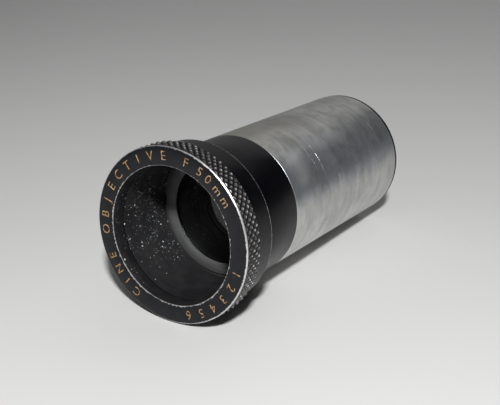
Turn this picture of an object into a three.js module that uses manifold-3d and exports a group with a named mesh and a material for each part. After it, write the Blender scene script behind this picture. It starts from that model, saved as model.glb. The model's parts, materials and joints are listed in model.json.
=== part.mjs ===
// A short-barrelled projection objective lying on its side: a black knurled front head,
// a black front tube with the front doublet, and a plain aluminium push-fit barrel with
// the aperture stop and the rear lens pair. Units are millimetres and +Z is up.
//
// Every round piece is described by a profile of [radius, station] points. The station
// runs along the optical axis, from 0 at the engraved front face to the rear end.
// The whole lens rests on the knurl and on the rear edge of its barrel, so the optical
// axis drops slightly towards the rear, which is the +Y end.

import * as THREE from 'three';
import { mergeVertices } from 'three/addons/utils/BufferGeometryUtils.js';
import Module from 'manifold-3d';

const wasm = await Module();
wasm.setup();

// Driving dimensions.
const barrelRadius = 15.875;
const totalLength = 75.4;
const gap = 0.3;
const facets = 40;

// Stations of the visible steps.
const lipDepth = 3.2;
const knurlStart = 0.6;
const knurlEnd = 4.85;
const headEnd = 10.9;
const collarEnd = 24.5;
const flangeThickness = 0.4;

// Radii of the head and of the front tube.
const lipRadius = 14.95;
const faceRadius = 18.75;
const knurlRadius = 19.15;
const headRadius = 17.9;
const recessRadius = 15.0;
const frontTubeRadius = barrelRadius;
const headBoreRadius = frontTubeRadius + gap;

// The screwed spigot of the front tube and the bore that takes it.
const spigotRadius = 14.45;
const spigotBoreRadius = 13.6;
const spigotEnd = 31.2;

// Barrel bores and the pieces stacked inside them.
const barrelBoreRadius = 14.3;
const stackRadius = barrelBoreRadius - gap;
const stackBoreRadius = 13.3;
const ribStart = spigotEnd + 1.1;
const ribEnd = ribStart + 1.2;
const stopStart = 44.2;
const stopThickness = 1.2;
const stopRadius = 8.4;
const glareRingRadius = 11.2;
const rearCellStart = 54.0;
const rearGlassRadius = 12.9;
const rearCellBoreRadius = rearGlassRadius + gap;
const rearSeatRadius = 11.8;

// Front lens cell, held in the recess against the shoulder of the front tube.
const recessFloor = 23.2;
const cellRadius = recessRadius - gap;
const cellBoreRadius = 14.2;
const frontGlassRadius = cellBoreRadius - gap;
const cellStart = 17.8;
const cellEnd = 22.2;
const cellLipStart = cellEnd - 0.7;
const frontRingBore = 11.6;

// Glass: vertex stations and radii of curvature, positive when bowed towards the front.
const frontCrown = { front: 17.0, rear: 19.8, frontCurve: 60, rearCurve: -140 };
const frontFlint = { front: 20.1, rear: 21.2, frontCurve: -140, rearCurve: 0 };
const rearFlint = { front: 58.6, rear: 60.4, frontCurve: -45, rearCurve: 40 };
const rearCrown = { front: 63.0, rear: 69.2, frontCurve: 45, rearCurve: -60 };
const arcSteps = 5;

const finishes = {
  blackAnodised: new THREE.MeshStandardMaterial({ color: 0x17191c, roughness: 0.35, metalness: 0.6 }),
  blackEnamel: new THREE.MeshStandardMaterial({ color: 0x121317, roughness: 0.3, metalness: 0.3 }),
  matteBlack: new THREE.MeshStandardMaterial({ color: 0x1c1c1f, roughness: 0.8, metalness: 0.1 }),
  aluminium: new THREE.MeshStandardMaterial({ color: 0xa9adb2, roughness: 0.38, metalness: 0.95 }),
  brass: new THREE.MeshStandardMaterial({ color: 0xb08a45, roughness: 0.35, metalness: 0.95 }),
  glass: new THREE.MeshStandardMaterial({ color: 0xd8e0ea, roughness: 0.03, metalness: 0.0 }),
};

// Turns a profile around the axis. The radii are scaled so that the middle of each
// facet, not its corner, lies at the stated radius, and a facet faces straight down.
function turned(profile) {
  const cornerScale = 1 / Math.cos(Math.PI / facets);
  const points = profile.map(([radius, station]) => new THREE.Vector2(radius * cornerScale, station));
  return new THREE.LatheGeometry(points, facets, Math.PI / facets, 2 * Math.PI);
}

// A turned ring: the profile is closed by repeating its first point.
function ring(profile) {
  return turned([...profile, profile[0]]);
}

// A plain ring with a rectangular section.
function plainRing(innerRadius, outerRadius, start, end) {
  return ring([
    [innerRadius, start],
    [outerRadius, start],
    [outerRadius, end],
    [innerRadius, end],
  ]);
}

// How far a spherical surface bows at a radius; negative curves bow the other way.
function sag(curve, radius) {
  if (curve === 0) {
    return 0;
  }
  const size = Math.abs(curve);
  return Math.sign(curve) * (size - Math.sqrt(size * size - radius * radius));
}

// One lens element with spherical faces and a ground cylindrical edge.
function lensElement(glass, radius) {
  const profile = [];
  for (let step = 0; step <= arcSteps; step += 1) {
    const r = (radius * step) / arcSteps;
    profile.push([r, glass.front + sag(glass.frontCurve, r)]);
  }
  for (let step = arcSteps; step >= 0; step -= 1) {
    const r = (radius * step) / arcSteps;
    profile.push([r, glass.rear + sag(glass.rearCurve, r)]);
  }
  return turned(profile);
}

function toSolid(geometry) {
  const bare = geometry.clone();
  bare.deleteAttribute('normal');
  bare.deleteAttribute('uv');
  const merged = mergeVertices(bare, 1e-4);
  return new wasm.Manifold(new wasm.Mesh({
    numProp: 3,
    vertProperties: new Float32Array(merged.attributes.position.array),
    triVerts: new Uint32Array(merged.index.array),
  }));
}

function toGeometry(solid) {
  const mesh = solid.getMesh();
  const geometry = new THREE.BufferGeometry();
  geometry.setAttribute('position', new THREE.BufferAttribute(mesh.vertProperties, 3));
  geometry.setIndex(new THREE.BufferAttribute(mesh.triVerts, 1));
  geometry.computeVertexNormals();
  return geometry;
}

// Cuts two spanner slots, one on each side of the axis, into the ring face at a station.
function withSpannerSlots(geometry, radius, station) {
  const width = 1.6;
  const depth = 0.7;
  const cutter = new THREE.BoxGeometry(4 * radius, 2 * depth, width);
  cutter.translate(0, station, 0);
  const cut = toSolid(geometry).subtract(toSolid(cutter));
  return toGeometry(cut);
}

// The knurled head: engraved front face, knurled grip, plain band and internal thread.
function knurledHead() {
  const bevel = 0.25;
  return ring([
    [lipRadius, 0],
    [faceRadius, 0],
    [faceRadius + bevel, bevel],
    [faceRadius + bevel, knurlStart],
    [knurlRadius, knurlStart + bevel],
    [knurlRadius, knurlEnd],
    [headRadius, knurlEnd + bevel],
    [headRadius, headEnd],
    [headBoreRadius, headEnd],
    [headBoreRadius, lipDepth],
    [lipRadius, lipDepth],
  ]);
}

// Thin ring that sets how far the head screws onto the front tube.
const shimStart = lipDepth + gap;
const shimEnd = shimStart + 0.6;

function headShimRing() {
  return plainRing(recessRadius + 0.05, frontTubeRadius - 0.1, shimStart, shimEnd);
}

// The front tube: deep black recess, shoulder for the lens cell, and the screwed spigot.
function frontTube() {
  return ring([
    [recessRadius, shimEnd + gap],
    [frontTubeRadius, shimEnd + gap],
    [frontTubeRadius, collarEnd],
    [spigotRadius, collarEnd],
    [spigotRadius, spigotEnd],
    [spigotBoreRadius, spigotEnd],
    [spigotBoreRadius, recessFloor],
    [recessRadius, recessFloor],
  ]);
}

// The cell that carries the front doublet, with a lip behind the glass. It screws into
// the recess by two spanner slots until its end meets the shim on the shoulder.
function frontLensCell() {
  const cell = ring([
    [cellBoreRadius, cellStart],
    [cellRadius, cellStart],
    [cellRadius, cellEnd],
    [stackBoreRadius, cellEnd],
    [stackBoreRadius, cellLipStart],
    [cellBoreRadius, cellLipStart],
  ]);
  return withSpannerSlots(cell, cellRadius, cellStart);
}

// Thin ring between the cell and the shoulder that sets the space between the two groups.
function frontSpacingShim() {
  return plainRing(spigotBoreRadius + gap, cellRadius, cellEnd + gap, recessFloor - gap);
}

// Conical ring that holds the doublet in its cell; both its faces slope in towards the glass.
function frontRetainingRing() {
  return ring([
    [frontRingBore, cellStart - 0.25],
    [frontGlassRadius, cellStart - 0.5],
    [frontGlassRadius, cellStart + 0.45],
    [frontRingBore, cellStart],
  ]);
}

// The barrel: spigot bore, a rib that stops the stack, the stack bore and a rear chamfer.
function barrelTube() {
  const start = collarEnd + gap;
  const end = totalLength - flangeThickness - gap;
  const chamfer = 0.3;
  return ring([
    [spigotRadius + gap, start],
    [barrelRadius - chamfer, start],
    [barrelRadius, start + chamfer],
    [barrelRadius, end],
    [barrelBoreRadius, end],
    [barrelBoreRadius, ribEnd],
    [spigotBoreRadius, ribEnd],
    [spigotBoreRadius, ribStart],
    [spigotRadius + gap, ribStart],
  ]);
}

// Two spacer tubes with a thin glare ring between them reach from the rib to the stop.
const glareRingStart = 38.2;
const glareRingEnd = glareRingStart + 0.5;

function frontSpacerTube() {
  return plainRing(stackBoreRadius, stackRadius, ribEnd + gap, glareRingStart - gap);
}

function glareRing() {
  return plainRing(glareRingRadius, stackRadius, glareRingStart, glareRingEnd);
}

function middleSpacerTube() {
  return plainRing(stackBoreRadius, stackRadius, glareRingEnd + gap, stopStart - gap);
}

// The aperture stop: a plate with a hole that is opened out towards the rear.
function apertureStop() {
  const stopEnd = stopStart + stopThickness;
  return ring([
    [stopRadius, stopStart],
    [stackRadius, stopStart],
    [stackRadius, stopEnd],
    [stopRadius + stopThickness, stopEnd],
  ]);
}

function rearSpacerTube() {
  const start = stopStart + stopThickness + gap;
  return plainRing(stackBoreRadius, stackRadius, start, rearCellStart - gap);
}

// The rear cell: screws into the barrel until its flange meets the end of the tube.
function rearCell() {
  const seatThickness = 1.2;
  const flangeRadius = barrelRadius - 0.25;
  const flangeStart = totalLength - flangeThickness;
  return ring([
    [rearSeatRadius, rearCellStart],
    [stackRadius, rearCellStart],
    [stackRadius, flangeStart],
    [flangeRadius, flangeStart],
    [flangeRadius, totalLength],
    [rearCellBoreRadius, totalLength],
    [rearCellBoreRadius, rearCellStart + seatThickness],
    [rearSeatRadius, rearCellStart + seatThickness],
  ]);
}

function rearSeatRing() {
  return plainRing(rearSeatRadius, rearGlassRadius, 55.5, 56.3);
}

function rearLensSpacer() {
  return plainRing(rearSeatRadius, rearGlassRadius, 62.9, 64.6);
}

function rearRetainingRing() {
  const end = 70.1;
  return withSpannerSlots(plainRing(rearSeatRadius, rearGlassRadius, 68.1, end), rearGlassRadius, end);
}

function addPiece(parent, name, geometry, material) {
  const mesh = new THREE.Mesh(geometry, material);
  mesh.name = name;
  parent.add(mesh);
}

const lens = new THREE.Group();
const head = new THREE.Group();
const frontUnit = new THREE.Group();
const barrel = new THREE.Group();
lens.add(head, frontUnit, barrel);

addPiece(head, 'knurled_head', knurledHead(), finishes.blackAnodised);
addPiece(head, 'head_shim_ring', headShimRing(), finishes.brass);

addPiece(frontUnit, 'front_tube', frontTube(), finishes.blackEnamel);
addPiece(frontUnit, 'front_lens_cell', frontLensCell(), finishes.aluminium);
addPiece(frontUnit, 'front_spacing_shim', frontSpacingShim(), finishes.brass);
addPiece(frontUnit, 'front_retaining_ring', frontRetainingRing(), finishes.aluminium);
addPiece(frontUnit, 'front_crown_lens', lensElement(frontCrown, frontGlassRadius), finishes.glass);
addPiece(frontUnit, 'front_flint_lens', lensElement(frontFlint, frontGlassRadius), finishes.glass);

addPiece(barrel, 'barrel_tube', barrelTube(), finishes.aluminium);
addPiece(barrel, 'front_spacer_tube', frontSpacerTube(), finishes.matteBlack);
addPiece(barrel, 'glare_ring', glareRing(), finishes.matteBlack);
addPiece(barrel, 'middle_spacer_tube', middleSpacerTube(), finishes.matteBlack);
addPiece(barrel, 'aperture_stop', apertureStop(), finishes.matteBlack);
addPiece(barrel, 'rear_spacer_tube', rearSpacerTube(), finishes.matteBlack);
addPiece(barrel, 'rear_cell', rearCell(), finishes.blackAnodised);
addPiece(barrel, 'rear_seat_ring', rearSeatRing(), finishes.brass);
addPiece(barrel, 'rear_flint_lens', lensElement(rearFlint, rearGlassRadius), finishes.glass);
addPiece(barrel, 'rear_lens_spacer', rearLensSpacer(), finishes.matteBlack);
addPiece(barrel, 'rear_crown_lens', lensElement(rearCrown, rearGlassRadius), finishes.glass);
addPiece(barrel, 'rear_retaining_ring', rearRetainingRing(), finishes.blackAnodised);

// Lay the lens down on the rear edge of its knurl and the rear edge of its barrel, then
// put the middle of its footprint at the origin.
const barrelEnd = totalLength - flangeThickness - gap;
const droop = Math.atan2(knurlRadius - barrelRadius, barrelEnd - knurlEnd);
lens.rotation.x = -droop;
lens.updateMatrixWorld(true);
const footprint = new THREE.Box3().setFromObject(lens, true);
const middle = footprint.getCenter(new THREE.Vector3());
lens.position.set(-middle.x, -middle.y, -footprint.min.z);
lens.updateMatrixWorld(true);

export default lens;
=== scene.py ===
"""A push-fit projection lens lying on a pale table top.

The black head has a fine diamond knurl and an engraved, gold-filled front ring. Behind it
come a black front tube, a plain aluminium barrel and the rear cell. Pieces are drawn in
millimetres in the lens's own frame: z runs out of the front face along the optical axis,
y is up, and a station is a distance behind the front face. They are then set in place.
"""

import json
import math

import bmesh
import bpy
from mathutils import Matrix, Vector


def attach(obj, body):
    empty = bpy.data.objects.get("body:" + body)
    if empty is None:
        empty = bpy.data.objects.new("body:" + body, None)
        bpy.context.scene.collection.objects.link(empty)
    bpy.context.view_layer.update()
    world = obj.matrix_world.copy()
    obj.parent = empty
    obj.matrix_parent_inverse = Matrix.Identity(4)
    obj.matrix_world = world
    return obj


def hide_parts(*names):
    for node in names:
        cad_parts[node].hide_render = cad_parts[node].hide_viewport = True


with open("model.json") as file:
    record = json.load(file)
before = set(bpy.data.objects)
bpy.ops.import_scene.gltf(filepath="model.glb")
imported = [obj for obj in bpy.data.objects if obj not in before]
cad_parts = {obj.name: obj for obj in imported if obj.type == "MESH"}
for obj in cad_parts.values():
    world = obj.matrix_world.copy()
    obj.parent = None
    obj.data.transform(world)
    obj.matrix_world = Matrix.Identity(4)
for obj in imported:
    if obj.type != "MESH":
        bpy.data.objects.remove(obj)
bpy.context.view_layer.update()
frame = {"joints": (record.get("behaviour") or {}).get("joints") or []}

MM = 0.001
FULL_TURN = 2 * math.pi

# Stations along the axis, and radii, in millimetres. They repeat the frame's own sizes.
LIP_DEPTH = 3.2
KNURL_START, KNURL_END = 0.62, 4.9
HEAD_END = 10.9
COLLAR_END = 24.5
BARREL_END = 74.7
TOTAL_LENGTH = 75.4
LIP_RADIUS = 14.95
FACE_RADIUS = 18.75
RIM_RADIUS = 19.02
KNURL_RADIUS = 19.15
KNURL_ROOT = 18.7
BAND_RADIUS = 17.9
RECESS_RADIUS = 15.0
BARREL_RADIUS = 15.875
HEAD_BORE = BARREL_RADIUS + 0.3
SPIGOT_RADIUS = 14.45
SPIGOT_BORE = 13.6
SPIGOT_END = 31.2
RECESS_FLOOR = 23.2
BORE_STEP = 27.6
THREAD_PITCH = 0.75
BARREL_BORE = 14.3
STACK_RADIUS = 14.0
STACK_BORE = 13.3
FRONT_GLASS = 13.9
CELL_BORE = 14.2
CELL_START, CELL_END = 17.8, 22.2
FRONT_RING_BORE = 11.6
CEMENT_CURVE = -140
REAR_GLASS = 12.9
REAR_SEAT = 11.8
REAR_RING_FACE = 70.1
STOP_FRONT, STOP_REAR = 44.2, 45.4
STOP_BORE, STOP_BACK_BORE = 8.4, 9.6

ROUND_STEPS = 240
GLASS_STEPS = 128
BEVEL_STEPS = 2
GLASS_INDEX = 1.52

# The camera: degrees, metres from it to the middle of the front face, and millimetres.
CAMERA_AZIMUTH, CAMERA_ELEVATION = 32.99, 21.57
FACE_TO_RIGHT, FACE_BELOW, FACE_AHEAD = -0.01644, 0.00697, 0.19294
CAMERA_LENS, CAMERA_FILM = 68.22, 36

# Scores and dings on the barrel, most along the line where the key light glints, and lightened in
# colour there as painted glints: station, clock angle, reach round the turn, half width.
SCORES_AND_GLINTS = (
    (36.4, 45, 6, 0.55),
    (36.5, 46, 22, 0.16),
    (38.9, 52, 20, 0.10),
    (67.7, 45, 6, 0.55),
    (67.5, 48, 18, 0.14),
    (44.5, 75, 6, 0.35),
    (53.7, 76, 6, 0.35),
    (63.4, 5, 5, 0.26),
)

turn_joint = next(joint for joint in frame["joints"] if joint["name"] == "front_unit_turn")
forward = Vector(turn_joint["axis"]).normalized()
front_centre = Vector(turn_joint["pos_m"]) + forward * COLLAR_END * MM
across = Vector((1, 0, 0))
upward = forward.cross(across)
lens_turn = Matrix((across, upward, forward)).transposed()
lens_place = Matrix.Translation(front_centre) @ lens_turn.to_4x4() @ Matrix.Scale(MM, 4)


# ---------------------------------------------------------------- node-graph helpers

class Finish:
    """A material being mixed: short calls for the shader nodes that its recipe needs."""

    def __init__(self, name):
        self.material = bpy.data.materials.new(name)
        self.material.use_nodes = True
        self.tree = self.material.node_tree
        self.shader = self.tree.nodes["Principled BSDF"]

    def node(self, kind, **settings):
        made = self.tree.nodes.new("ShaderNode" + kind)
        for key, value in settings.items():
            setattr(made, key, value)
        return made

    def feed(self, socket, value):
        if isinstance(value, bpy.types.NodeSocket):
            self.tree.links.new(value, socket)
        else:
            socket.default_value = value

    def math(self, operation, first, second=0.0):
        made = self.node("Math", operation=operation)
        self.feed(made.inputs[0], first)
        self.feed(made.inputs[1], second)
        return made.outputs[0]

    def ramp(self, value, low, high, start=0.0, end=1.0):
        """Smoothly takes value from low..high to start..end."""
        made = self.node("MapRange", interpolation_type="SMOOTHSTEP")
        for socket, number in zip(made.inputs, (value, low, high, start, end)):
            self.feed(socket, number)
        return made.outputs[0]

    def blend(self, share, first, second):
        made = self.node("Mix", data_type="RGBA")
        self.feed(made.inputs[0], share)
        self.feed(made.inputs[6], first)
        self.feed(made.inputs[7], second)
        return made.outputs[2]

    def vector(self, x, y, z):
        made = self.node("CombineXYZ")
        for socket, value in zip(made.inputs, (x, y, z)):
            self.feed(socket, value)
        return made.outputs[0]

    def noise(self, vector, scale, detail=3.0, roughness=0.5, distortion=0.0):
        made = self.node("TexNoise")
        self.feed(made.inputs["Vector"], vector)
        made.inputs["Scale"].default_value = scale
        made.inputs["Detail"].default_value = detail
        made.inputs["Roughness"].default_value = roughness
        made.inputs["Distortion"].default_value = distortion
        return made.outputs["Fac"]

    def lens_frame(self):
        """Position in the lens's own frame, in millimetres, and its round coordinates."""
        place = self.node("TexCoord").outputs["Object"]
        mapping = self.node("Mapping", vector_type="TEXTURE")
        self.feed(mapping.inputs["Vector"], place)
        mapping.inputs["Location"].default_value = front_centre
        mapping.inputs["Rotation"].default_value = lens_turn.to_euler()
        mapping.inputs["Scale"].default_value = (MM, MM, MM)
        self.place = mapping.outputs[0]
        split = self.node("SeparateXYZ")
        self.feed(split.inputs[0], self.place)
        self.x, self.y, self.z = split.outputs
        length = self.node("VectorMath", operation="LENGTH")
        self.feed(length.inputs[0], self.vector(self.x, self.y, 0.0))
        self.radius = length.outputs["Value"]
        self.station = self.math("MULTIPLY", self.z, -1.0)
        self.angle = self.math("ARCTAN2", self.y, self.x)
        return self

    def around(self, along_turn, along_axis):
        """A vector for patterns that run round the axis: small numbers stretch them."""
        cosine = self.math("DIVIDE", self.x, self.radius)
        sine = self.math("DIVIDE", self.y, self.radius)
        return self.vector(
            self.math("MULTIPLY", cosine, along_turn),
            self.math("MULTIPLY", sine, along_turn),
            self.math("MULTIPLY", self.z, along_axis),
        )

    def near_arc(self, station, clock, reach, width):
        """A soft mask along part of a circle: station in mm, clock and reach in degrees."""
        middle = math.radians(clock)
        along = self.math("DIVIDE", self.x, self.radius)
        upright = self.math("DIVIDE", self.y, self.radius)
        facing = self.math("MULTIPLY", along, math.sin(middle))
        facing = self.math("ADD", facing, self.math("MULTIPLY", upright, math.cos(middle)))
        edge = math.cos(math.radians(reach))
        within = self.ramp(facing, edge, edge + (1 - edge) * 0.8)
        off = self.math("ABSOLUTE", self.math("SUBTRACT", self.station, station))
        return self.math("MULTIPLY", within, self.ramp(off, 0.0, width, 1.0, 0.0))

    def bump(self, height, distance, strength=1.0, below=None):
        made = self.node("Bump")
        made.inputs["Strength"].default_value = strength
        made.inputs["Distance"].default_value = distance
        self.feed(made.inputs["Height"], height)
        if below is not None:
            self.feed(made.inputs["Normal"], below)
        return made.outputs[0]

    def set(self, **values):
        for name, value in values.items():
            self.feed(self.shader.inputs[name.replace("_", " ")], value)
        return self.material


def grey(level, warmth=0.0):
    """A grey colour; warmth leans it towards red, or towards blue below nought."""
    return (level * (1 + warmth), level, level * (1 - warmth), 1)


# ---------------------------------------------------------------- finishes

def satin_black():
    """Black anodised head: blue-black, with the metal showing on worn edges, which are widened on
    the right as a painted highlight.
    """
    f = Finish("satin black anodised").lens_frame()
    patches = f.noise(f.place, 0.35, 4)
    fine = f.noise(f.place, 5.0, 3)
    chips = f.math("SUBTRACT", f.noise(f.place, 1.7, 5, 0.65), 0.5)
    slow = f.math("SUBTRACT", f.noise(f.around(2.2, 0.2), 1.0, 2), 0.5)
    to_right = f.math("DIVIDE", f.x, f.radius)
    to_bottom = f.math("MULTIPLY", f.math("DIVIDE", f.y, f.radius), -1.0)

    # The worn rim and rear edge are widened towards the right, where the key light falls: partly
    # wear, partly painted highlight. The worn lip widens towards the bottom.
    rim_wear_and_highlight = f.math("ADD", f.math("MULTIPLY", chips, 0.55), f.math("MULTIPLY", slow, 0.35))
    rim_wear_and_highlight = f.math("ADD", rim_wear_and_highlight, f.math("MULTIPLY", to_right, 0.07))
    outer = f.ramp(f.math("ADD", f.radius, rim_wear_and_highlight), FACE_RADIUS + 0.02, FACE_RADIUS + 0.12)
    outer = f.math("MULTIPLY", outer, f.ramp(f.station, 0.26, 0.34, 1.0, 0.0))

    lip_push = f.math("ADD", f.math("MULTIPLY", chips, 1.5), f.math("MULTIPLY", slow, 0.5))
    lip_push = f.math("ADD", lip_push, f.math("MULTIPLY", to_bottom, 0.09))
    worn_lip = f.math("SUBTRACT", f.radius, lip_push)
    inner = f.ramp(worn_lip, LIP_RADIUS + 0.06, LIP_RADIUS + 0.14, 1.0, 0.0)
    thin = f.ramp(f.radius, LIP_RADIUS + 0.04, LIP_RADIUS + 0.08, 0.7, 0.0)
    inner = f.math("MAXIMUM", inner, thin)
    inner = f.math("MULTIPLY", inner, f.ramp(f.station, 0.16, 0.26, 1.0, 0.0))

    rear_wear_and_highlight = f.math("MULTIPLY", f.math("SUBTRACT", chips, 0.02), 0.4)
    rear_wear_and_highlight = f.math("ADD", rear_wear_and_highlight, f.math("MULTIPLY", to_right, 0.05))
    rear = f.ramp(f.math("ADD", f.station, rear_wear_and_highlight), HEAD_END - 0.14, HEAD_END - 0.06)
    rear = f.math("MULTIPLY", rear, f.ramp(f.radius, BAND_RADIUS - 0.2, BAND_RADIUS - 0.1, 0, 0.8))

    worn = f.math("MAXIMUM", f.math("MAXIMUM", outer, inner), rear)
    base = f.blend(f.ramp(patches, 0.35, 0.7), (0.0035, 0.0038, 0.006, 1), (0.007, 0.0075, 0.010, 1))
    specks = f.ramp(f.noise(f.place, 2.4, 2), 0.75, 0.79)
    base = f.blend(f.math("MULTIPLY", specks, 0.35), base, grey(0.10))
    on_band = f.ramp(f.station, KNURL_END, KNURL_END + 0.1)
    base = f.blend(f.math("MULTIPLY", on_band, 0.6), base, grey(0.001))
    rough = f.ramp(fine, 0.2, 0.8, 0.30, 0.42)
    return f.set(
        Base_Color=f.blend(worn, base, (0.66, 0.65, 0.65, 1)),
        Metallic=f.math("MULTIPLY", worn, 0.8),
        Roughness=f.math("SUBTRACT", rough, f.math("MULTIPLY", on_band, 0.08)),
        Specular_IOR_Level=f.ramp(on_band, 0.0, 1.0, 0.33, 0.08),
        Normal=f.bump(fine, 0.015 * MM, 0.5),
    )


def knurl_black():
    """The knurl: black in its valleys, rubbed to bare metal on its points."""
    f = Finish("worn black knurl").lens_frame()
    rub = f.noise(f.place, 1.1, 4, 0.65)
    lift = f.math("ADD", f.radius, f.math("MULTIPLY", f.math("SUBTRACT", rub, 0.5), 0.5))
    worn = f.ramp(lift, KNURL_RADIUS - 0.07, KNURL_RADIUS + 0.01)
    land = f.ramp(f.station, KNURL_START + 0.05, KNURL_START + 0.12, 1.0, 0.0)
    land = f.math("MULTIPLY", land, f.ramp(rub, 0.36, 0.52, 0.1, 0.8))
    worn = f.math("MAXIMUM", worn, land)
    flank = f.ramp(f.radius, KNURL_ROOT + 0.10, KNURL_RADIUS - 0.04)
    flank = f.math("MULTIPLY", flank, f.ramp(f.noise(f.place, 2.2, 4, 0.7), 0.35, 0.65, 0.2, 1.0))
    base = f.blend(flank, (0.0015, 0.0013, 0.002, 1), (0.19, 0.18, 0.18, 1))
    return f.set(
        Base_Color=f.blend(worn, base, (0.78, 0.75, 0.74, 1)),
        Metallic=f.math("MAXIMUM", f.math("MULTIPLY", flank, 0.6), f.math("MULTIPLY", worn, 0.7)),
        Roughness=f.ramp(rub, 0.3, 0.7, 0.20, 0.34),
        Normal=f.bump(f.noise(f.place, 9.0, 2), 0.02 * MM, 0.5),
    )


def gold_paint():
    """Old gilt filling of the engraving, patchy and browned in places."""
    f = Finish("gilt engraving paint").lens_frame()
    age = f.noise(f.place, 1.3, 5, 0.7)
    colour = f.blend(f.ramp(age, 0.38, 0.62), (0.15, 0.065, 0.022, 1), (0.56, 0.37, 0.19, 1))
    return f.set(
        Base_Color=colour,
        Roughness=0.5,
        Normal=f.bump(f.noise(f.place, 6.0), 0.03 * MM, 0.7),
    )


def black_enamel():
    """Smooth black front tube, with a faint turning and a few hair scratches."""
    f = Finish("smooth black enamel").lens_frame()
    turning = f.noise(f.around(1.5, 7.0), 1.0, 4, 0.6)
    hair = f.ramp(f.noise(f.around(26.0, 0.35), 1.0, 2), 0.78, 0.82)
    base = f.blend(f.noise(f.place, 0.4), (0.0012, 0.0011, 0.0020, 1), (0.0026, 0.0025, 0.0040, 1))
    return f.set(
        Base_Color=f.blend(f.math("MULTIPLY", hair, 0.2), base, grey(0.2)),
        Roughness=f.ramp(turning, 0.3, 0.7, 0.26, 0.32),
        Specular_IOR_Level=0.10,
        Normal=f.bump(turning, 0.006 * MM, 0.3),
    )


def dusty_black():
    """Dead black paint inside the front recess, with dust and white flecks on it."""
    f = Finish("dusty recess black").lens_frame()
    film = f.noise(f.place, 0.28, 5, 0.6)
    grain = f.noise(f.place, 4.5, 3, 0.7)
    rings = f.noise(f.around(1.0, 5.0), 1.0, 3)
    base = f.blend(f.ramp(film, 0.35, 0.7), (0.0045, 0.0045, 0.006, 1), (0.012, 0.0115, 0.0128, 1))
    base = f.blend(f.math("MULTIPLY", f.ramp(grain, 0.55, 0.8), 0.25), base, grey(0.06))
    dusty_side = f.ramp(f.x, -RECESS_RADIUS, -0.35 * RECESS_RADIUS, 1.0, 0.0)
    dusty_side = f.math("MULTIPLY", dusty_side, f.ramp(f.station, 2.0, 14.0, 0.35, 1.3))
    swarm = f.noise(f.place, 0.33, 3, 0.6)
    base = f.blend(flecks(f, 3.4, 0.42, dusty_side, swarm), base, (0.13, 0.14, 0.14, 1))
    base = f.blend(flecks(f, 2.3, 0.34, dusty_side, swarm), base, (0.34, 0.37, 0.37, 1))
    base = f.blend(flecks(f, 1.2, 0.24, dusty_side, swarm), base, (0.66, 0.70, 0.70, 1))
    return f.set(
        Base_Color=base,
        Roughness=f.ramp(rings, 0.3, 0.7, 0.55, 0.75),
        Normal=f.bump(rings, 0.05 * MM, 0.4, f.bump(grain, 0.03 * MM, 0.5)),
    )


def flecks(f, per_mm, size, side, swarm):
    """A mask of small flecks that gather where the swarm pattern is high, on one side."""
    cells = f.node("TexVoronoi", feature="F1")
    f.feed(cells.inputs["Vector"], f.place)
    cells.inputs["Scale"].default_value = per_mm
    split = f.node("SeparateColor")
    f.feed(split.inputs[0], cells.outputs["Color"])
    chance, bigness = split.outputs[0], split.outputs[1]
    likely = f.math("MULTIPLY", f.ramp(swarm, 0.36, 0.60), f.math("MULTIPLY", side, 0.9))
    chosen = f.math("LESS_THAN", chance, likely)
    reach = f.math("MULTIPLY", f.math("MULTIPLY", bigness, bigness), size)
    dot = f.math("LESS_THAN", cells.outputs["Distance"], reach)
    return f.math("MULTIPLY", chosen, dot)


def matte_black():
    """Anti-glare paint on the spacers, the stop and the glare ring."""
    f = Finish("anti-glare black").lens_frame()
    grain = f.noise(f.place, 4.0, 4, 0.6)
    return f.set(
        Base_Color=f.blend(grain, grey(0.012), grey(0.018)),
        Roughness=0.75,
        Normal=f.bump(grain, 0.01 * MM, 0.2),
    )


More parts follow.
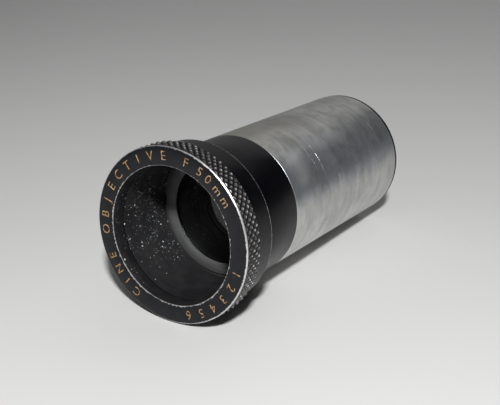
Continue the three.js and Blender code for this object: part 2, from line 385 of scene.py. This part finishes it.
def bare_aluminium():
    """Drawn aluminium tube: dulled, with streaks round it, rubs, scores and dings, and with painted
    reflections, painted shade and painted glints that change round the tube.
    """
    f = Finish("dulled drawn aluminium").lens_frame()
    clouds = f.noise(f.place, 0.09, 3, 0.5)
    stains = f.noise(f.around(2.6, 0.30), 1.0, 4, 0.6, 0.6)
    streaks = f.noise(f.around(1.4, 1.1), 1.0, 4, 0.65)
    turning = f.noise(f.around(1.2, 9.0), 1.0, 5, 0.7)
    to_right = f.math("DIVIDE", f.x, f.radius)
    to_top = f.math("DIVIDE", f.y, f.radius)
    ahead = f.ramp(f.station, 34.0, 62.0, 1.0, 0.0)
    upper = f.ramp(to_top, 0.0, 0.35)

    # Painted reflection and shade: olive-dark over the upper front left and blue over the upper
    # right, the colours the tube would mirror from the room.
    painted_warm_shade = f.math("MULTIPLY", f.ramp(to_right, 0.0, 0.70, 1.0, 0.0), ahead)
    painted_warm_shade = f.math("MULTIPLY", painted_warm_shade, upper)
    painted_blue_reflection = f.math("MULTIPLY", f.ramp(to_right, 0.35, 0.85), upper)
    dull = f.math("ADD", f.math("MULTIPLY", clouds, 0.4), f.math("MULTIPLY", stains, 0.35))
    dull = f.math("ADD", dull, f.math("MULTIPLY", streaks, 0.25))
    base = f.blend(f.ramp(dull, 0.38, 0.62), (0.44, 0.44, 0.435, 1), (0.62, 0.615, 0.60, 1))
    base = f.blend(f.math("MULTIPLY", painted_warm_shade, 0.7), base, (0.27, 0.265, 0.22, 1))
    base = f.blend(f.math("MULTIPLY", painted_blue_reflection, 0.6), base, (0.33, 0.37, 0.43, 1))
    mottle = f.ramp(f.noise(f.place, 0.30, 6, 0.68, 0.4), 0.44, 0.66)
    mottle = f.math("MULTIPLY", mottle, f.ramp(upper, 0.0, 1.0, 0.15, 0.55))
    base = f.blend(mottle, base, (0.30, 0.285, 0.265, 1))
    lines = f.math("MULTIPLY", f.ramp(turning, 0.52, 0.72), 0.5)
    base = f.blend(lines, base, grey(0.24))
    # A lightened patch next to the collar: partly a rub, partly a painted highlight on the line
    # where the key light glints.
    rub_and_highlight = f.near_arc(30.5, 52, 18, 4.5)
    base = f.blend(f.math("MULTIPLY", rub_and_highlight, 0.45), base, grey(0.80))

    scores_and_glints = None
    for station, clock, reach, width in SCORES_AND_GLINTS:
        score_and_glint = f.near_arc(station, clock, reach, width)
        scores_and_glints = score_and_glint if scores_and_glints is None else f.math("MAXIMUM", scores_and_glints, score_and_glint)
    broken = f.ramp(f.noise(f.place, 1.3, 4, 0.7), 0.36, 0.54, 0.35, 1.0)
    scores_and_glints = f.math("MULTIPLY", scores_and_glints, broken)
    # Lightening the colour of the scores paints glints on them.
    base = f.blend(f.math("MULTIPLY", scores_and_glints, 0.55), base, grey(0.85))
    rough = f.ramp(dull, 0.36, 0.64, 0.38, 0.29)
    rough = f.math("SUBTRACT", rough, f.math("MULTIPLY", scores_and_glints, 0.14))
    small = f.bump(turning, 0.025 * MM, 0.35)
    small = f.bump(f.noise(f.place, 0.5, 3), 0.10 * MM, 0.15, small)
    return f.set(
        Base_Color=base,
        Metallic=f.ramp(dull, 0.36, 0.64, 0.86, 0.76),
        Roughness=rough,
        Normal=f.bump(scores_and_glints, 0.09 * MM, 0.9, small),
    )


def turned_brass():
    """Seat and shim rings: turned brass, slightly tarnished."""
    f = Finish("turned brass").lens_frame()
    turning = f.noise(f.around(1.0, 12.0), 1.0, 3)
    tarnish = f.noise(f.place, 0.5, 4)
    return f.set(
        Base_Color=f.blend(tarnish, (0.42, 0.28, 0.11, 1), (0.66, 0.48, 0.22, 1)),
        Metallic=1.0,
        Roughness=0.34,
        Normal=f.bump(turning, 0.02 * MM, 0.4),
    )


def let_lamps_through(f, shader, tint):
    """Mixes in a clear shader for shadow rays, so that lamps light what is behind glass."""
    clear = f.node("BsdfTransparent")
    clear.inputs["Color"].default_value = tint
    choose = f.node("MixShader")
    f.feed(choose.inputs[0], f.node("LightPath").outputs["Is Shadow Ray"])
    f.feed(choose.inputs[1], shader.outputs[0])
    f.feed(choose.inputs[2], clear.outputs[0])
    f.feed(f.tree.nodes["Material Output"].inputs["Surface"], choose.outputs[0])
    return f.material


def polished_glass():
    """The outer faces of the glass, which mirror a little of the room."""
    f = Finish("polished lens glass").lens_frame()
    haze = f.noise(f.place, 0.5, 4)
    f.set(
        Base_Color=(0.88, 0.90, 0.95, 1),
        Roughness=f.ramp(haze, 0.4, 0.8, 0.0, 0.02),
        IOR=GLASS_INDEX,
        Transmission_Weight=1.0,
    )
    return let_lamps_through(f, f.shader, (0.86, 0.88, 0.90, 1))


def bloomed_glass():
    """The inner faces of the glass, bloomed against reflections."""
    f = Finish("bloomed lens glass")
    bend = f.node("BsdfRefraction")
    bend.inputs["Color"].default_value = (0.93, 0.95, 0.97, 1)
    bend.inputs["Roughness"].default_value = 0.0
    bend.inputs["IOR"].default_value = GLASS_INDEX
    return let_lamps_through(f, bend, (0.90, 0.92, 0.94, 1))


def optical_cement():
    """The faces of the doublet that are cemented together, which show nothing."""
    f = Finish("optical cement")
    clear = f.node("BsdfTransparent")
    clear.inputs["Color"].default_value = (0.99, 0.985, 0.97, 1)
    f.feed(f.tree.nodes["Material Output"].inputs["Surface"], clear.outputs[0])
    return f.material


def satin_grey(name, level, metallic):
    """A turned or ground grey surface, darkened towards its outside as painted shade; level is its
    lightness at its lightest.
    """
    f = Finish(name).lens_frame()
    turning = f.noise(f.around(1.6, 8.0), 1.0, 4, 0.7)
    streak = f.noise(f.around(7.0, 0.4), 1.0, 3)
    base = f.blend(f.ramp(turning, 0.35, 0.7), grey(0.62 * level, -0.02), grey(level))
    # Painted shade: darker towards the outer edge, lighter towards the inner edge where the light
    # falls.
    painted_shade_outward = f.ramp(f.radius, FRONT_RING_BORE, RECESS_RADIUS, 0.0, 0.75)
    base = f.blend(painted_shade_outward, base, grey(0.15 * level))
    return f.set(
        Base_Color=f.blend(f.math("MULTIPLY", streak, 0.35), base, grey(0.4 * level)),
        Metallic=metallic,
        Roughness=f.ramp(turning, 0.3, 0.7, 0.40, 0.52),
        Specular_IOR_Level=0.1,
        Normal=f.bump(turning, 0.03 * MM, 0.4),
    )


# ---------------------------------------------------------------- mesh helpers

def spun(profile, steps=ROUND_STEPS, closed=True):
    """Turns a profile of (radius, station) points round the lens axis."""
    mesh = bmesh.new()
    points = [mesh.verts.new((radius, 0, -station)) for radius, station in profile]
    ends = points[1:] + points[:1] if closed else points[1:]
    lines = [mesh.edges.new(pair) for pair in zip(points, ends)]
    bmesh.ops.spin(mesh, geom=points + lines, cent=(0, 0, 0), axis=(0, 0, 1),
                   angle=FULL_TURN, steps=steps, use_merge=True, use_duplicate=False)
    bmesh.ops.remove_doubles(mesh, verts=mesh.verts, dist=1e-4)
    bmesh.ops.recalc_face_normals(mesh, faces=mesh.faces)
    return mesh


def from_axis(face):
    """How far the middle of a face lies from the lens axis."""
    centre = face.calc_center_median()
    return Vector((centre.x, centre.y)).length


def soften(mesh, width, sharper_than=30):
    """Bevels every edge that turns by more than an angle in degrees."""
    limit = math.radians(sharper_than)
    sharp = [e for e in mesh.edges if len(e.link_faces) == 2 and e.calc_face_angle() > limit]
    bmesh.ops.bevel(mesh, geom=sharp, offset=width, offset_type="OFFSET", segments=BEVEL_STEPS,
                    profile=0.5, affect="EDGES", clamp_overlap=True, material=-1)


def place_piece(name, mesh, body, finishes, nodes=(), smooth_below=40):
    """Sets a finished mesh in the row's frame and hangs it on its body."""
    data = bpy.data.meshes.new(name)
    mesh.transform(lens_place)
    mesh.to_mesh(data)
    mesh.free()
    data.shade_smooth()
    data.set_sharp_from_angle(angle=math.radians(smooth_below))
    for finish in finishes:
        data.materials.append(finish)
    piece = bpy.data.objects.new(name, data)
    bpy.context.scene.collection.objects.link(piece)
    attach(piece, body)
    if nodes:
        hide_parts(*nodes)
    return piece


def threaded(radius, start, end, depth=0.3):
    """Profile points of an outside thread, drawn as a row of V grooves."""
    points = []
    turns = int((end - start) / THREAD_PITCH)
    for turn in range(turns):
        crest = start + turn * THREAD_PITCH
        points += [(radius, crest + 0.1), (radius - depth, crest + THREAD_PITCH / 2)]
    points.append((radius, start + turns * THREAD_PITCH + 0.1))
    return points


def cut_slots(mesh, station, width=1.6, depth=0.7):
    """Sinks two spanner slots, left and right, into the flat ring face at a station."""
    for face in mesh.faces:
        centre = face.calc_center_median()
        level = all(abs(-vert.co.z - station) < depth + 0.01 for vert in face.verts)
        if level and abs(centre.y) < width / 2 and abs(face.normal.z) > 0.9:
            inward = -math.copysign(depth, face.normal.z)
            for vert in face.verts:
                vert.co.z = -station + inward


# ---------------------------------------------------------------- pieces of the head

def make_head_ring(finish, bore):
    """The head without its knurl: the flat engraved face, the rim and the plain band."""
    ring = spun([
        (LIP_RADIUS, 0.0),
        (FACE_RADIUS, 0.0),
        (RIM_RADIUS, 0.27),
        (RIM_RADIUS, 0.44),
        (KNURL_ROOT, 0.56),
        (KNURL_ROOT - 0.15, KNURL_START),
        (KNURL_ROOT - 0.15, KNURL_END),
        (BAND_RADIUS, KNURL_END + 0.1),
        (BAND_RADIUS, HEAD_END),
        (HEAD_BORE, HEAD_END),
        (HEAD_BORE, LIP_DEPTH + 0.1),
        (LIP_RADIUS, LIP_DEPTH + 0.1),
    ])
    soften(ring, 0.08)
    for face in ring.faces:
        inside = from_axis(face) < LIP_RADIUS + 0.02
        face.material_index = int(inside and -face.calc_center_median().z > 0.12)
    return place_piece("head_ring", ring, "head", [finish, bore], ["knurled_head"])


def make_knurled_grip(finish):
    """Diamond knurl: two crossing sets of V grooves pressed into a band."""
    teeth = 74
    row_pitch = 1.71
    first_row = 1.71
    first_peak = math.radians(62.9)
    flat_share = 0.82
    depth = 0.42
    chamfer = 0.4
    per_tooth = 10
    rows = 44
    columns = teeth * per_tooth
    grip = bmesh.new()
    bmesh.ops.create_grid(grip, x_segments=columns, y_segments=rows, size=0.5)
    for vert in grip.verts:
        angle = (vert.co.x + 0.5) * FULL_TURN
        station = KNURL_START + (0.5 - vert.co.y) * (KNURL_END - KNURL_START)
        turn = (angle - first_peak) * teeth / FULL_TURN
        line = (station - first_row) / row_pitch
        nearest = min(abs(2 * ((turn + line) % 1) - 1), abs(2 * ((turn - line) % 1) - 1))
        radius = KNURL_RADIUS - depth * (1 - min(nearest / flat_share, 1))
        from_end = min(station - KNURL_START, KNURL_END - station)
        radius = min(radius, KNURL_RADIUS - max(0, chamfer - from_end))
        if station < KNURL_START + 0.11:
            radius = KNURL_ROOT + 0.1
        vert.co = (radius * math.cos(angle), radius * math.sin(angle), -station)
    bmesh.ops.remove_doubles(grip, verts=grip.verts, dist=1e-4)
    rims = [e for e in grip.edges if e.is_boundary]
    sunk = bmesh.ops.extrude_edge_only(grip, edges=rims)
    for vert in (v for v in sunk["geom"] if isinstance(v, bmesh.types.BMVert)):
        flat = Vector((vert.co.x, vert.co.y)).normalized() * (KNURL_ROOT - 0.3)
        vert.co = (flat.x, flat.y, vert.co.z)
    rims = [e for e in grip.edges if e.is_boundary]
    bmesh.ops.bridge_loops(grip, edges=rims)
    bmesh.ops.recalc_face_normals(grip, faces=grip.faces)
    return place_piece("knurled_grip", grip, "head", [finish], smooth_below=25)


def make_engraving(finish):
    """Generic lettering round the front ring, one raised fill per letter."""
    words = (
        ("CINE", -149.1, 10.6),
        ("OBJECTIVE", -97.1, 11.5),
        ("F", 13.9, 0.0),
        ("50", 25.9, 8.0),
        ("mm", 43.4, 9.5),
        ("123456", 103.9, 11.8),
    )
    capital_height = 2.0
    baseline = 16.08
    thickness = 0.06
    made = bmesh.new()
    for letters, first, spacing in words:
        for place, letter in enumerate(letters):
            text = bpy.data.curves.new("letter", "FONT")
            text.body = letter
            text.align_x = "CENTER"
            text.size = capital_height / 0.72
            text.extrude = thickness
            text.offset = -0.024
            text.resolution_u = 4
            holder = bpy.data.objects.new("letter", text)
            outline = bpy.data.meshes.new_from_object(holder)
            clock = math.radians(first + place * spacing)
            turn = Matrix.Rotation(-clock, 4, "Z") @ Matrix.Translation((0, baseline, 0))
            outline.transform(turn)
            made.from_mesh(outline)
            bpy.data.objects.remove(holder)
            bpy.data.curves.remove(text)
            bpy.data.meshes.remove(outline)
    bmesh.ops.remove_doubles(made, verts=made.verts, dist=1e-5)
    bmesh.ops.translate(made, verts=made.verts, vec=(0, 0, 0.015 - thickness))
    return place_piece("engraved_lettering", made, "head", [finish])


# ---------------------------------------------------------------- front unit and barrel

def make_front_barrel(outside, inside, bore):
    """The black front tube, with a thread at each end and a stepped bore."""
    shim_end = LIP_DEPTH + 0.9
    tube = spun([
        (RECESS_RADIUS, LIP_DEPTH + 0.35),
        (BARREL_RADIUS - 0.35, LIP_DEPTH + 0.35),
        *threaded(BARREL_RADIUS - 0.02, shim_end, HEAD_END - 0.9),
        (BARREL_RADIUS, HEAD_END - 0.5),
        (BARREL_RADIUS, COLLAR_END),
        (SPIGOT_RADIUS, COLLAR_END),
        *threaded(SPIGOT_RADIUS, COLLAR_END + 0.6, SPIGOT_END - 0.5),
        (SPIGOT_RADIUS, SPIGOT_END),
        (SPIGOT_BORE + 0.2, SPIGOT_END),
        (SPIGOT_BORE + 0.2, BORE_STEP + 0.1),
        (SPIGOT_BORE, BORE_STEP),
        (SPIGOT_BORE, RECESS_FLOOR),
        (RECESS_RADIUS, RECESS_FLOOR),
    ])
    soften(tube, 0.04, sharper_than=80)
    for face in tube.faces:
        radius, station = from_axis(face), -face.calc_center_median().z
        if RECESS_FLOOR < station < BORE_STEP and radius < SPIGOT_BORE + 0.1:
            face.material_index = 2
        elif radius < SPIGOT_BORE + 0.3 or station < COLLAR_END and radius < RECESS_RADIUS + 0.2:
            face.material_index = 1
    return place_piece("front_barrel", tube, "front_unit",
                       [outside, inside, bore], ["front_tube"])


def make_barrel_sleeve(outside, inside):
    """The plain aluminium barrel, blackened inside."""
    sleeve = spun([
        (SPIGOT_RADIUS + 0.3, COLLAR_END + 0.06),
        (BARREL_RADIUS - 0.12, COLLAR_END + 0.06),
        (BARREL_RADIUS, COLLAR_END + 0.18),
        (BARREL_RADIUS, BARREL_END - 0.2),
        (BARREL_RADIUS - 0.2, BARREL_END),
        (BARREL_BORE, BARREL_END),
        (BARREL_BORE, SPIGOT_END + 2.3),
        (SPIGOT_BORE, SPIGOT_END + 2.3),
        (SPIGOT_BORE, SPIGOT_END + 1.1),
        (SPIGOT_RADIUS + 0.3, SPIGOT_END + 1.1),
    ])
    soften(sleeve, 0.05)
    for face in sleeve.faces:
        face.material_index = int(from_axis(face) < SPIGOT_RADIUS + 0.4)
    return place_piece("barrel_sleeve", sleeve, "barrel", [outside, inside],
                       ["barrel_tube"])


def make_rear_cell(finish):
    """The tube that holds the rear pair of lenses, with its flange on the barrel's end."""
    flange_start = TOTAL_LENGTH - 0.6
    cell = spun([
        (REAR_SEAT, 54.0),
        (STACK_RADIUS, 54.0),
        (STACK_RADIUS, flange_start),
        (BARREL_RADIUS - 0.06, flange_start),
        (BARREL_RADIUS - 0.06, TOTAL_LENGTH),
        (REAR_GLASS + 0.3, TOTAL_LENGTH),
        (REAR_GLASS + 0.3, 55.2),
        (REAR_SEAT, 55.2),
    ])
    soften(cell, 0.08)
    return place_piece("rear_cell_ring", cell, "barrel", [finish], ["rear_cell"])


def make_plain_ring(name, node, body, slot, finish, inner, outer, start, end, slotted=None):
    ring = spun([(inner, start), (outer, start), (outer, end), (inner, end)])
    if slotted is not None:
        cut_slots(ring, slotted)
    else:
        soften(ring, 0.06)
    return place_piece(name, ring, body, [finish], [node])


def make_lens_cell(finish):
    """The cell of the front doublet, with two spanner slots in its front face."""
    cell = spun([
        (CELL_BORE, CELL_START),
        (RECESS_RADIUS - 0.06, CELL_START),
        (RECESS_RADIUS - 0.06, CELL_END),
        (STACK_BORE, CELL_END),
        (STACK_BORE, CELL_END - 0.7),
        (CELL_BORE, CELL_END - 0.7),
    ])
    cut_slots(cell, CELL_START)
    return place_piece("doublet_cell", cell, "front_unit", [finish],
                       ["front_lens_cell"])


def make_front_ring(finish):
    """The conical ring that holds the doublet in its cell, sloping in towards the glass."""
    ring = spun([
        (FRONT_RING_BORE, CELL_START - 0.25),
        (CELL_BORE - 0.1, CELL_START - 0.5),
        (CELL_BORE - 0.1, CELL_START + 0.45),
        (FRONT_RING_BORE, CELL_START),
    ])
    soften(ring, 0.04)
    return place_piece("front_ring", ring, "front_unit", [finish],
                       ["front_retaining_ring"])


def make_stop(finish):
    """The aperture stop, a plate whose hole widens to the rear."""
    stop = spun([
        (STOP_BORE, STOP_FRONT),
        (STACK_RADIUS, STOP_FRONT),
        (STACK_RADIUS, STOP_REAR),
        (STOP_BACK_BORE, STOP_REAR),
    ])
    return place_piece("stop_plate", stop, "barrel", [finish], ["aperture_stop"])


def sag(curve, radius):
    """How far a sphere of a radius of curvature falls back at a distance from the axis."""
    if curve == 0:
        return 0.0
    size = abs(curve)
    return math.copysign(size - math.sqrt(size * size - radius * radius), curve)


def make_lens(name, node, body, radius, front, rear, front_curve, rear_curve, finishes):
    """A glass element: two spherical faces and an edge; a curve of 0 is a flat face."""
    arc = 24
    steps = [radius * step / arc for step in range(arc + 1)]
    profile = [(r, front + sag(front_curve, r)) for r in steps]
    profile += [(r, rear + sag(rear_curve, r)) for r in reversed(steps)]
    element = spun(profile, steps=GLASS_STEPS, closed=False)
    for face in element.faces:
        if abs(face.normal.z) < 0.3:
            face.material_index = 2
        else:
            face.material_index = int(face.normal.z < 0)
    return place_piece(name, element, body, finishes, [node])


# ---------------------------------------------------------------- build

gilt = gold_paint()
black = satin_black()
knurl = knurl_black()
enamel = black_enamel()
recess = dusty_black()
dead_black = matte_black()
aluminium = bare_aluminium()
brass = turned_brass()
polished = polished_glass()
bloomed = bloomed_glass()
cement = optical_cement()
ring_metal = satin_grey("greyed turned ring", 0.17, 0.12)
ground_edge = satin_grey("ground glass edge", 0.10, 0.0)

make_head_ring(black, recess)
make_knurled_grip(knurl)
make_engraving(gilt)
make_front_barrel(enamel, recess, dead_black)
make_barrel_sleeve(aluminium, dead_black)
make_rear_cell(black)
make_lens_cell(ring_metal)
make_front_ring(ring_metal)
make_stop(dead_black)

# Name, node, body, slot and finish, then inner and outer radius, start and end stations,
# and the station of the slotted face if there is one.
PLAIN_RINGS = (
    ("shim_ring", "head_shim_ring", "head_shim", "brass", brass,
     15.1, 15.7, 3.55, 4.1),
    ("spacing_shim", "front_spacing_shim", "front_unit", "brass", brass,
     13.9, 14.7, 22.5, 22.9),
    ("front_spacer", "front_spacer_tube", "barrel", "matte_black", dead_black,
     STACK_BORE, STACK_RADIUS, 33.8, 37.9),
    ("glare_plate", "glare_ring", "barrel", "matte_black", dead_black,
     11.2, STACK_RADIUS, 38.2, 38.7),
    ("middle_spacer", "middle_spacer_tube", "barrel", "matte_black", dead_black,
     STACK_BORE, STACK_RADIUS, 39.0, 43.9),
    ("rear_spacer", "rear_spacer_tube", "barrel", "matte_black", dead_black,
     STACK_BORE, STACK_RADIUS, 45.7, 53.7),
    ("seat_ring", "rear_seat_ring", "barrel", "brass", brass,
     REAR_SEAT, REAR_GLASS, 55.5, 56.3),
    ("lens_spacer", "rear_lens_spacer", "barrel", "matte_black", dead_black,
     REAR_SEAT, REAR_GLASS, 62.9, 64.6),
    ("rear_lock_ring", "rear_retaining_ring", "barrel", "black_anodised", black,
     REAR_SEAT, REAR_GLASS, 68.1, REAR_RING_FACE, REAR_RING_FACE),
)
for row in PLAIN_RINGS:
    make_plain_ring(*row)

# Name, node, body and radius, then front and rear stations, front and rear radii of
# curvature, and the finishes of the front face, the rear face and the edge.
LENSES = (
    ("front_crown_glass", "front_crown_lens", "front_optics", FRONT_GLASS,
     17.0, 19.8, 60, CEMENT_CURVE, [polished, cement, ground_edge]),
    ("front_flint_glass", "front_flint_lens", "front_optics", FRONT_GLASS,
     20.1, 21.2, CEMENT_CURVE, 0, [cement, bloomed, ground_edge]),
    ("rear_flint_glass", "rear_flint_lens", "barrel", REAR_GLASS,
     58.6, 60.4, -45, 40, [bloomed, bloomed, dead_black]),
    ("rear_crown_glass", "rear_crown_lens", "barrel", REAR_GLASS,
     63.0, 69.2, 45, -60, [bloomed, polished, dead_black]),
)
for row in LENSES:
    make_lens(*row)


# ---------------------------------------------------------------- table, light and camera

def make_table():
    f = Finish("pale table top")
    place = f.node("TexCoord").outputs["Object"]
    fine = f.noise(place, 900.0, 3)
    broad = f.noise(place, 6.0, 3)
    top = f.set(
        Base_Color=f.blend(broad, (0.80, 0.80, 0.79, 1), (0.84, 0.84, 0.83, 1)),
        Roughness=0.55,
        Normal=f.bump(fine, 0.00005, 0.1),
    )
    mesh = bmesh.new()
    bmesh.ops.create_grid(mesh, x_segments=4, y_segments=4, size=3.0)
    data = bpy.data.meshes.new("table")
    mesh.to_mesh(data)
    mesh.free()
    data.materials.append(top)
    table = bpy.data.objects.new("table", data)
    bpy.context.scene.collection.objects.link(table)


def aim(thing, place, target):
    thing.location = place
    thing.rotation_euler = (Vector(target) - Vector(place)).to_track_quat("-Z", "Y").to_euler()


def make_light(name, place, target, size, energy):
    lamp = bpy.data.lights.new(name, "AREA")
    lamp.shape = "DISK"
    lamp.size = size
    lamp.energy = energy
    holder = bpy.data.objects.new(name, lamp)
    bpy.context.scene.collection.objects.link(holder)
    aim(holder, place, target)


def make_camera():
    """Looks down on the lens from ahead and to its right."""
    azimuth = math.radians(CAMERA_AZIMUTH)
    elevation = math.radians(CAMERA_ELEVATION)
    right = Vector((math.cos(azimuth), math.sin(azimuth), 0))
    ahead = Vector((-math.sin(azimuth) * math.cos(elevation),
                    math.cos(azimuth) * math.cos(elevation), -math.sin(elevation)))
    down = ahead.cross(right)
    face_from_camera = right * FACE_TO_RIGHT + down * FACE_BELOW + ahead * FACE_AHEAD
    camera = bpy.data.objects.new("camera", bpy.data.cameras.new("camera"))
    camera.data.lens = CAMERA_LENS
    camera.data.sensor_width = CAMERA_FILM
    camera.data.clip_start = 0.01
    place = front_centre - face_from_camera
    aim(camera, place, place + ahead)
    bpy.context.scene.collection.objects.link(camera)
    bpy.context.scene.camera = camera


def make_surroundings():
    world = bpy.data.worlds.new("room")
    world.use_nodes = True
    world.node_tree.nodes["Background"].inputs["Color"].default_value = (0.95, 0.97, 1.0, 1)
    world.node_tree.nodes["Background"].inputs["Strength"].default_value = 0.03
    bpy.context.scene.world = world
    bpy.context.scene.view_settings.view_transform = "Standard"


make_table()
make_camera()
make_surroundings()
key_way = Vector((0.46, -0.585, 0.685)).normalized()
lens_middle = front_centre + Vector((0, 0.03, 0))
make_light("key", front_centre + key_way * 0.46, lens_middle, 0.04, 2.5)
make_light("room wall", Vector((-0.45, 0.80, 0.32)), lens_middle, 0.8, 0.42)
make_light("soft fill", Vector((0.05, 0.55, 0.78)), lens_middle, 1.0, 0.9)
